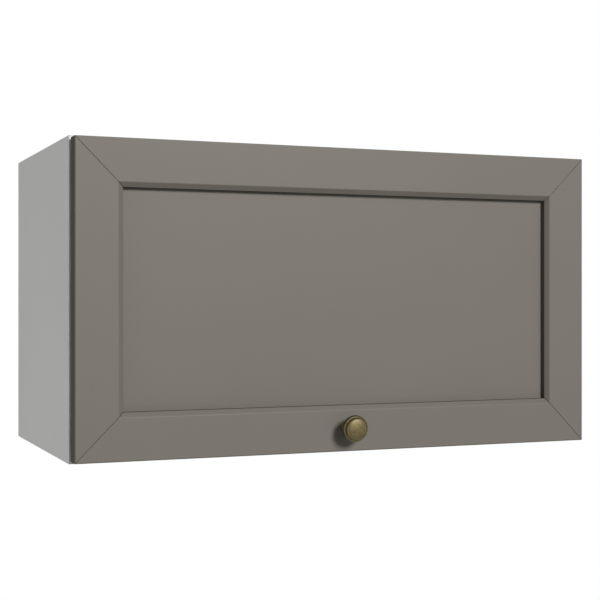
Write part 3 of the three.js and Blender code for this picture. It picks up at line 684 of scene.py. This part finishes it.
mitre_slack = 0.21 * MM
member_tree, inputs = new_geometry_tree(
    "mitred_frame_member",
    ("Half Length", "Float", 298 * MM),
    ("Mitre Slack", "Float", mitre_slack),
    ("Turn", "Rotation", None),
    ("Place", "Vector", None),
    ("Finish", "Material", None),
)
tree = member_tree
section = add(tree, "GeometryNodeMeshToCurve", {"Mesh": inputs["Geometry"]}).outputs[0]
line = add(tree, "GeometryNodeCurvePrimitiveLine", {"Start": (0, 0, -1), "End": (0, 0, 1)}).outputs[0]
bar = {"Curve": line, "Profile Curve": section, "Fill Caps": True}
bar = add(tree, "GeometryNodeCurveToMesh", bar).outputs[0]
position = add(tree, "GeometryNodeInputPosition").outputs[0]
parts = add(tree, "ShaderNodeSeparateXYZ", {"Vector": position}).outputs
half = maths(tree, "SUBTRACT", inputs["Half Length"], inputs["Mitre Slack"])
half = maths(tree, "SUBTRACT", half, parts["X"])
mitred = vector_of(tree, X=parts["X"], Y=parts["Y"], Z=maths(tree, "MULTIPLY", half, parts["Z"]))
bar = add(tree, "GeometryNodeSetPosition", {"Geometry": bar, "Position": mitred}).outputs[0]
bar = moved(tree, bar, Translation=inputs["Place"], Rotation=inputs["Turn"])
end_tree(tree, inputs, bar)

rail_low, rail_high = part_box("door_top_rail")
foot_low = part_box("door_bottom_rail")[0]
stile_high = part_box("door_right_stile")[1]
panel_low, panel_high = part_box("door_centre_panel")
door_front = rail_low.y
door_thickness = rail_high.y - rail_low.y
door_half_width = stile_high.x
door_half_height = (rail_high.z - foot_low.z) / 2
door_middle = (rail_high.z + foot_low.z) / 2
member_width = rail_high.z - rail_low.z
bevel_width = 5.4 * MM
bevel_depth = 3 * MM
front_rounding = 1.5 * MM
fold_rounding = 2.5 * MM
back_rounding = 2.5 * MM
panel_play = 0.3 * MM
lip = panel_low.y - door_front - panel_play
groove_rear = panel_high.y - door_front + panel_play
groove_depth = 9 * MM
groove_floor = member_width - groove_depth


def arc(across, depth, radius, start, end, steps):
    """Points on an arc, from a start angle to an end angle in degrees."""
    turns = [math.radians(start + (end - start) * i / steps) for i in range(steps + 1)]
    return [(across + radius * math.cos(turn), depth + radius * math.sin(turn)) for turn in turns]


# The fold from the flat face to the bevel is a soft arc.
bevel_slope = math.degrees(math.atan2(bevel_depth, bevel_width))
fold = member_width - bevel_width - fold_rounding * math.tan(math.radians(bevel_slope / 2))

# Across is from the door's outer edge inwards, and depth is from its front to its back.
member_section = [
    *arc(front_rounding, front_rounding, front_rounding, 180, 270, 5),
    *arc(fold, fold_rounding, fold_rounding, 270, 270 + bevel_slope, 4),
    (member_width, bevel_depth),
    (member_width, lip),
    (groove_floor, lip),
    (groove_floor, groove_rear),
    (member_width, groove_rear),
    (member_width, door_thickness),
    *arc(back_rounding, door_thickness - back_rounding, back_rounding, 90, 180, 6),
]


def cylinder(name, radius, start, end, sides=64):
    """A round cutter between two points."""
    along = Vector(end) - Vector(start)
    bm = bmesh.new()
    bmesh.ops.create_cone(
        bm, cap_ends=True, segments=sides, radius1=radius, radius2=radius, depth=along.length
    )
    place = Matrix.Translation((Vector(start) + Vector(end)) / 2)
    bmesh.ops.transform(bm, verts=bm.verts, matrix=place @ along.to_track_quat("Z", "Y").to_matrix().to_4x4())
    return mesh_object(name, mesh_of(name, bm))


# How much shade is painted on the outer edge, and how much on the wall of the recess.
edge_painted_shade = 0.1
wall_painted_shade = 0.6
foil_rounding = 0.28 * MM


def frame_member(part, outward, half_length, bevel_painted_shade, cutters=()):
    """One member of the door's frame, swept, mitred, bored and eased, with shade painted on its edges, bevels
    and walls.
    """
    corners = [(across, depth, 0) for across, depth in member_section]
    count = len(corners)
    mesh = bpy.data.meshes.new(part + "_wrapped")
    mesh.from_pydata(corners, [(i, (i + 1) % count) for i in range(count)], [])
    made = mesh_object(part + "_wrapped", mesh)
    inward = -Vector(outward)
    along = inward.cross(Vector((0, 1, 0)))
    turn = Matrix((inward, (0, 1, 0), along)).transposed().to_euler()
    reach = door_half_width if outward[0] else door_half_height
    place = Vector(outward) * reach + Vector((0, door_front, door_middle))
    run_tree(
        made,
        member_tree,
        Half_Length=half_length,
        Mitre_Slack=mitre_slack,
        Turn=tuple(turn),
        Place=tuple(place),
        Finish=grey_foil,
    )
    bm = bmesh.new()
    bm.from_mesh(made.data)
    bmesh.ops.remove_doubles(bm, verts=bm.verts, dist=1e-7)
    bmesh.ops.recalc_face_normals(bm, faces=bm.faces)
    bm.to_mesh(made.data)
    bm.free()
    bored(made, cutters)
    ease = made.modifiers.new("foil_rounding", "BEVEL")
    ease.width = foil_rounding
    ease.segments = 2
    ease.limit_method = "ANGLE"
    ease.angle_limit = math.radians(25)
    ease.use_clamp_overlap = True
    settled(made)
    smooth_rounded(made)

    # Painted shade goes on the outer edges, the recess walls and the bevels. The rounding above the top
    # rail's front gets none, so that it catches the light.
    painted_shade_values = made.data.attributes.new("drawn", "FLOAT", "FACE")
    values = []
    for polygon in made.data.polygons:
        facing = polygon.normal.dot(Vector(outward))
        depth = polygon.center.y - door_front
        if facing > (0.75 if part == "door_top_rail" else 0.35):
            values.append(edge_painted_shade)
        elif facing < -0.7 and depth < lip:
            values.append(wall_painted_shade)
        elif facing < -0.4 and polygon.normal.y < -0.3:
            values.append(bevel_painted_shade)
        else:
            values.append(0.0)
    painted_shade_values.data.foreach_set("value", values)
    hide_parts(part)
    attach(made, "door")


cup_low, cup_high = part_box("right_hinge_cup")
hinge_x = (cup_low.x + cup_high.x) / 2
cup_hole_radius = 17.5 * MM
cup_edge = 3 * MM  # wood left above the cup
cup_clearance = 0.2 * MM
cup_middle = rail_high.z - cup_edge - cup_hole_radius
cup_floor = cup_low.y - cup_clearance
cup_holes = [
    cylinder("cup_hole", cup_hole_radius, (x, cup_floor, cup_middle), (x, rail_high.y + MM, cup_middle))
    for x in (-hinge_x, hinge_x)
]
knob_low, knob_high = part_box("knob")
knob_z = (knob_low.z + knob_high.z) / 2
screw_hole_radius = 2.15 * MM
screw_hole = cylinder(
    "screw_hole", screw_hole_radius, (0, door_front - MM, knob_z), (0, rail_high.y + MM, knob_z), 32
)
# Painted shade makes the bevels darker than their slope alone makes them, most at the top and on the right.
frame_member("door_top_rail", (0, 0, 1), door_half_width, 0.14, cup_holes)
frame_member("door_bottom_rail", (0, 0, -1), door_half_width, 0.04, [screw_hole])
frame_member("door_left_stile", (-1, 0, 0), door_half_height, 0.07)
frame_member("door_right_stile", (1, 0, 0), door_half_height, 0.16)

# ---------------------------------------------------------------------------------------------------------
# Door panel
# 6 mm MDF in the same foil, held loose in the frame's groove, so that it can move.
# ---------------------------------------------------------------------------------------------------------

refinish("door_centre_panel", grey_foil)

# ---------------------------------------------------------------------------------------------------------
# Cup hinges
# Pressed steel, nickel plated: a 35 mm cup in the door, a pin, an arm with a channel foot, and a plate under
# the top board.
# ---------------------------------------------------------------------------------------------------------

# Nickel plating on pressed steel: warm silver, satin, with the faint lines of the rolled sheet every 0.8 mm.
nickel_plate, tree = new_material("satin_nickel_plated_steel")
spot = place_on(tree)
stretched = add(tree, "ShaderNodeMapping", {"Vector": spot, "Scale": (1.0, 0.06, 1.0)}).outputs[0]
rolled = noise_at(tree, stretched, 0.8 * MM, 3.0)
breath = noise_at(tree, spot, 6 * MM)
surface(
    tree,
    Base_Color=tones(tree, breath, (0.3, "#b5b3ac"), (0.7, "#c2c0ba")),
    Metallic=1.0,
    Roughness=between(tree, rolled, 0.24, 0.36),
    Normal=relief(tree, rolled, 0.006 * MM),
)

for side_name in ("left", "right"):
    for kind, body in (("cup", "door"), ("arm", "carcass"), ("plate", "carcass")):
        pressed = broken_edges(f"{side_name}_hinge_{kind}", 0.3 * MM, nickel_plate)
        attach(pressed, body)
    refinish(side_name + "_hinge_pin", zinc_plate)

# ---------------------------------------------------------------------------------------------------------
# Lift stays
# A moulded housing on each side holds the spring and the arm's pivot. The arm carries a link that turns on a
# bracket on the door, so the four pivots always make a parallelogram.
# ---------------------------------------------------------------------------------------------------------

# Moulded grey plastic, glass filled: matt, with a slightly mottled grain of 0.5 mm.
grey_moulding, tree = new_material("moulded_grey_plastic")
spot = place_on(tree)
eroded = noise_at(tree, spot, 0.5 * MM, 3.0)
flow = noise_at(tree, spot, 9 * MM)
surface(
    tree,
    Base_Color=tones(tree, flow, (0.3, "#9fa1a2"), (0.7, "#a8aaab")),
    Roughness=between(tree, eroded, 0.46, 0.6),
    Normal=relief(tree, eroded, 0.025 * MM),
)

# Black enamel on the spring's tube: glossy, with a light orange peel of 1.5 mm and a few rubbed places.
black_enamel, tree = new_material("black_enamelled_tube")
spot = place_on(tree)
peel = noise_at(tree, spot, 1.5 * MM)
rubbed = between(tree, noise_at(tree, spot, 5 * MM, 4.0), 0.0, 1.0, 0.66, 0.72)
surface(
    tree,
    Base_Color=tones(tree, rubbed, (0.0, "#26272a"), (1.0, "#4b4c4e")),
    Roughness=between(tree, rubbed, 0.3, 0.5, 0.0, 1.0),
    Normal=relief(tree, peel, 0.02 * MM),
)

rear_inset = 10 * MM
edge_inset = 7 * MM
front_line = -208 * MM  # behind the arm's slot, above the spring's tube
counterbore_radius = 4.4 * MM
sink = 2.2 * MM
stay_screws = []
for side_name, side in (("left", -1), ("right", 1)):
    low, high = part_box(side_name + "_stay_housing")
    face = low.x if side > 0 else high.x
    rear_line = high.y - rear_inset
    upper, lower = high.z - edge_inset, low.z + edge_inset
    seats = [(rear_line, upper), (rear_line, lower), (front_line, upper)]
    counterbores = [
        cylinder("counterbore", counterbore_radius, (face - side * MM, y, z), (face + side * sink, y, z), 32)
        for y, z in seats
    ]
    stay_screws += [((face + side * sink, y, z), (-side, 0, 0)) for y, z in seats]
    housing = broken_edges(
        side_name + "_stay_housing", 0.7 * MM, grey_moulding, least=1.2 * MM, steps=3, cutters=counterbores
    )
    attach(housing, "carcass")
    for kind, body in (("arm", side_name + "_arm"), ("link", side_name + "_link"), ("bracket", "door")):
        lever = broken_edges(f"{side_name}_stay_{kind}", 0.35 * MM, nickel_plate)
        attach(lever, body)
    refinish(side_name + "_stay_pivot_pin", zinc_plate)
    refinish(side_name + "_stay_elbow_pin", zinc_plate)
    refinish(side_name + "_stay_spring_cartridge", black_enamel)

# ---------------------------------------------------------------------------------------------------------
# Screws
# Zinc plated pan heads with a cross recess. They hold the hinge plates, cups, brackets and stay housings, and
# set the hinge arms and the hangers.
# ---------------------------------------------------------------------------------------------------------

head_radius = 3.5 * MM
head_height = 1.9 * MM
screw_tree, inputs = new_geometry_tree(
    "cross_recess_screws",
    ("Head Radius", "Float", head_radius),
    ("Head Height", "Float", head_height),
    ("Recess Width", "Float", 4 * MM),
    ("Recess Depth", "Float", 1.2 * MM),
    ("Finish", "Material", None),
)
tree = screw_tree
cone = {"Vertices": 32, "Side Segments": 9, "Radius Top": 0.0, "Depth": 1.0}
cone["Radius Bottom"] = inputs["Head Radius"]
cone = add(tree, "GeometryNodeMeshCone", cone).outputs[0]
position = add(tree, "GeometryNodeInputPosition").outputs[0]
parts = add(tree, "ShaderNodeSeparateXYZ", {"Vector": position}).outputs
flat = vector_of(tree, X=parts["X"], Y=parts["Y"])
radius = add(tree, "ShaderNodeVectorMath", {0: flat}, operation="LENGTH").outputs["Value"]
share = maths(tree, "DIVIDE", radius, inputs["Head Radius"], use_clamp=True)
roundness = 2.6  # 2 is an ellipse, and more makes a fuller pan head
full = maths(tree, "POWER", share, roundness)
rest = maths(tree, "SUBTRACT", 1.0, full, use_clamp=True)
rise = maths(tree, "POWER", rest, 1 / roundness)
rise = maths(tree, "MULTIPLY", rise, inputs["Head Height"])
domed = vector_of(tree, X=parts["X"], Y=parts["Y"], Z=rise)
head = add(tree, "GeometryNodeSetPosition", {"Geometry": cone, "Position": domed}).outputs[0]
lift = vector_of(tree, Z=inputs["Head Height"])
recess = cross_recess(tree, inputs["Recess Width"], inputs["Recess Depth"])
head = carved(tree, head, [moved(tree, blade, Translation=lift) for blade in recess])
set_out(tree, inputs, head)


def screw_points(seats, size=1.0):
    """Points for the screw tree. Each recess is turned by its own odd angle."""
    points = []
    for index, (place, outward) in enumerate(seats):
        outward = Vector(outward)
        side = outward.orthogonal().normalized()
        turn = Matrix.Rotation(math.radians(37 * index + 11), 3, outward)
        points.append((tuple(place), tuple(outward), tuple(turn @ side), size))
    return points


# The heads' sizes are shares of the head radius.
small_screw = 0.86
bracket_screw = 0.9
hanger_screw = 1.1
plate_line = -256 * MM  # 37 mm behind the carcass front
plate_reach = 16 * MM
plate_depth = 1.4 * MM  # from the plate's top down to the heads
arm_screw_lines = (12 * MM, 43 * MM)  # from the arm's rear end
hanger_reach = 9 * MM
wing_reach = 21.8 * MM
bracket_thickness = 1.6 * MM
bracket_inset = 8 * MM
carcass_screws = screw_points(stay_screws)
door_screws = []
for side_name, side in (("left", -1), ("right", 1)):
    low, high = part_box(side_name + "_hinge_plate")
    middle = (low + high) / 2
    heads = high.z - plate_depth
    ends = (middle.x - plate_reach, middle.x + plate_reach)
    carcass_screws += screw_points([((x, plate_line, heads), (0, 0, -1)) for x in ends])
    low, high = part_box(side_name + "_hinge_arm")
    seats = [((middle.x, high.y - line, low.z), (0, 0, -1)) for line in arm_screw_lines]
    carcass_screws += screw_points(seats, small_screw)
    low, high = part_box(side_name + "_hanger_housing")
    middle = (low + high) / 2
    levels = (middle.z - hanger_reach, middle.z + hanger_reach)
    carcass_screws += screw_points([((middle.x, low.y, z), (0, -1, 0)) for z in levels], hanger_screw)
    low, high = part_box(side_name + "_hinge_cup")
    middle = (low + high) / 2
    ends = (middle.x - wing_reach, middle.x + wing_reach)
    door_screws += screw_points([((x, high.y, cup_middle), (0, 1, 0)) for x in ends], small_screw)
    low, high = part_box(side_name + "_stay_bracket")
    line = low.x + bracket_inset if side > 0 else high.x - bracket_inset
    sheet = low.y + bracket_thickness
    levels = (low.z + bracket_inset, high.z - bracket_inset)
    door_screws += screw_points([((line, sheet, z), (0, 1, 0)) for z in levels], bracket_screw)

screws = (("carcass_screws", carcass_screws, "carcass"), ("door_screws", door_screws, "door"))
for name, points, body in screws:
    heads = grown(
        name, points, screw_tree, Head_Radius=head_radius, Head_Height=head_height, Finish=zinc_plate
    )
    heads = smooth_rounded(heads)
    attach(heads, body)


# ---------------------------------------------------------------------------------------------------------
# Knob and its screw
# A turned zinc knob with an antique brass finish: a beaded rim, a crease and a low domed face. One M4 screw
# holds it through the bottom rail.
# ---------------------------------------------------------------------------------------------------------


def turned(name, profile, sides, origin, axis, *materials):
    """A turned piece. Its profile is (radius, distance, wear), from one point on the axis to another."""
    bm = bmesh.new()
    wear_and_painted_light = bm.verts.layers.float.new("wear_and_painted_light")
    spin = Vector(axis).to_track_quat("Z", "Y").to_matrix()
    rings = []
    for radius, distance, wear in profile:
        count = 1 if radius == 0 else sides
        ring = []
        for i in range(count):
            angle = 2 * math.pi * i / sides
            place = Vector((radius * math.cos(angle), radius * math.sin(angle), distance))
            vertex = bm.verts.new(Vector(origin) + spin @ place)
            vertex[wear_and_painted_light] = wear
            ring.append(vertex)
        rings.append(ring)
    for lower, upper in zip(rings, rings[1:]):
        for i in range(sides):
            j = (i + 1) % sides
            around = ((lower, i), (lower, j), (upper, j), (upper, i))
            corners = list(dict.fromkeys(ring[k % len(ring)] for ring, k in around))
            if len(corners) > 2:
                bm.faces.new(corners)
    bmesh.ops.recalc_face_normals(bm, faces=bm.faces)
    made = mesh_object(name, mesh_of(name, bm), *materials)
    made.data.shade_smooth()
    made.data.set_sharp_from_angle(angle=math.radians(42))
    return made


# Antique brass: plated, blackened, rubbed back and lacquered. Patches of 2 mm and specks of 0.7 mm keep the
# dark brown, the wear attribute brightens the rubbed crests and keeps the crease's patina dark, and on the
# steep edge of the face it is painted light as well as wear. The lacquer gives the pale, wide highlight.
antique_brass, tree = new_material("antique_brass_plating")
spot = place_on(tree)
patch = noise_at(tree, spot, 2 * MM, 3.0, 0.55)
fleck = noise_at(tree, spot, 0.7 * MM, 3.0, 0.6)
mottle = add(tree, "ShaderNodeMix", {0: 0.5, 2: patch, 3: fleck}).outputs[0]
wear_and_painted_light = add(tree, "ShaderNodeAttribute", attribute_name="wear_and_painted_light").outputs["Fac"]
rubbed = maths(tree, "ADD", mottle, wear_and_painted_light)
surface(
    tree,
    Base_Color=tones(tree, rubbed, (0.2, "#32291a"), (0.4, "#493e24"), (0.55, "#564c2c"), (0.75, "#685e3a")),
    Metallic=1.0,
    Roughness=between(tree, mottle, 0.46, 0.56),
    Specular_Tint=linear("#8c866a"),
    Coat_Weight=0.45,
    Coat_Roughness=0.38,
    Normal=relief(tree, fleck, 0.015 * MM),
)

base_radius = 8.5 * MM
base_height = 1.8 * MM
base_ease = 0.2 * MM
neck_radius = 5 * MM
neck_length = 11 * MM
foot_swell = 2.5 * MM
head_swell = 3 * MM
waist = 0.3 * MM
knob_profile = [
    (0, 0, -0.1),
    (base_radius - base_ease, 0, -0.1),
    (base_radius, base_ease, 0.05),
    (base_radius, 0.9 * MM, 0.08),
    (base_radius - 0.3 * MM, 1.4 * MM, 0.06),
    (base_radius - 1.0 * MM, base_height, 0),
]
neck_steps = 12
for i in range(1, neck_steps + 1):
    share = i / neck_steps
    swell = foot_swell * (1 - share) ** 2 + head_swell * share**4 - waist * math.sin(math.pi * share)
    knob_profile.append((neck_radius + swell, base_height + share * neck_length, -0.06))
knob_profile.append((10.5 * MM, 13.6 * MM, -0.06))
# The rim is a full bead, worn a little where it faces forward and dark round its side.
bead_radius = 12.45 * MM
bead_middle = 16.2 * MM
bead_half_width = 1.9 * MM
bead_half_height = 3.1 * MM
bead_start = -50
bead_sweep = 130
bead_steps = 14
for i in range(bead_steps + 1):
    turn = math.radians(bead_start + bead_sweep * i / bead_steps)
    wear = -0.13 + 0.14 * max(0, math.sin(turn)) ** 3
    out, up = bead_half_width * math.cos(turn), bead_half_height * math.sin(turn)
    knob_profile.append((bead_radius + out, bead_middle + up, wear))
# A narrow crease lies between the bead and the steep edge of the face, which is a low dome.
knob_profile += [
    (12.4 * MM, 19.35 * MM, -0.04),
    (12.2 * MM, 19.25 * MM, -0.1),
    (12.1 * MM, 19.3 * MM, -0.1),
    (12.03 * MM, 19.6 * MM, 0.05),
    # Painted light: the high wear on the steep edge of the face lifts a wall that its shading leaves dark.
    (12.01 * MM, 20.0 * MM, 0.2),
    (12.01 * MM, 21.0 * MM, 0.22),
]
face_radius = 12 * MM
dome_radius = 42 * MM
edge_fall = 1.9 * MM
knob_length = knob_high.y - knob_low.y
face_steps = 24
for i in range(face_steps + 1):
    out = math.cos(math.radians(90 * i / face_steps))
    radius = face_radius * out
    height = knob_length - radius**2 / (2 * dome_radius) - edge_fall * out**20
    knob_profile.append((0 if i == face_steps else radius, height, 0.03 + 0.1 * out**12))

knob = turned("knob_turned", knob_profile, 96, (0, knob_high.y, knob_z), (0, -1, 0), antique_brass)
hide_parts("knob")
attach(knob, "door")

refinish("knob_screw", zinc_plate)

# ---------------------------------------------------------------------------------------------------------
# Bumpers
# Two clear polyurethane domes, stuck to the lower corners of the door's back.
# ---------------------------------------------------------------------------------------------------------

# Clear polyurethane: milky, with a soft gloss, and a little dust in its skin.
clear_rubber, tree = new_material("clear_polyurethane")
spot = place_on(tree)
milk = noise_at(tree, spot, 2 * MM, 3.0)
surface(
    tree,
    Base_Color=tones(tree, milk, (0.3, "#d3d5d2"), (0.7, "#dfe0de")),
    Roughness=between(tree, milk, 0.22, 0.34),
    IOR=1.5,
    Transmission_Weight=0.35,
)

foot_ease = 0.15 * MM
foot_height = 0.35 * MM
dome_steps = 8
fullness = 0.6  # 1 is an ellipse, and less makes a fuller dome
for side_name in ("left", "right"):
    low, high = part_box(side_name + "_bumper")
    middle = (low + high) / 2
    radius = (high.x - low.x) / 2
    dome_height = high.y - low.y - foot_height
    profile = [(0, 0, 0), (radius - foot_ease, 0, 0), (radius, foot_ease, 0), (radius, foot_height, 0)]
    for i in range(1, dome_steps + 1):
        turn = math.radians(90 * i / dome_steps)
        out = radius * math.cos(turn) ** fullness if i < dome_steps else 0
        profile.append((out, foot_height + dome_height * math.sin(turn), 0))
    foot = (middle.x, low.y, middle.z)
    dome = turned(side_name + "_bumper_dome", profile, 40, foot, (0, 1, 0), clear_rubber)
    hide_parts(side_name + "_bumper")
    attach(dome, "door")

# ---------------------------------------------------------------------------------------------------------
# Sizes and the end
# ---------------------------------------------------------------------------------------------------------

low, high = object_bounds()
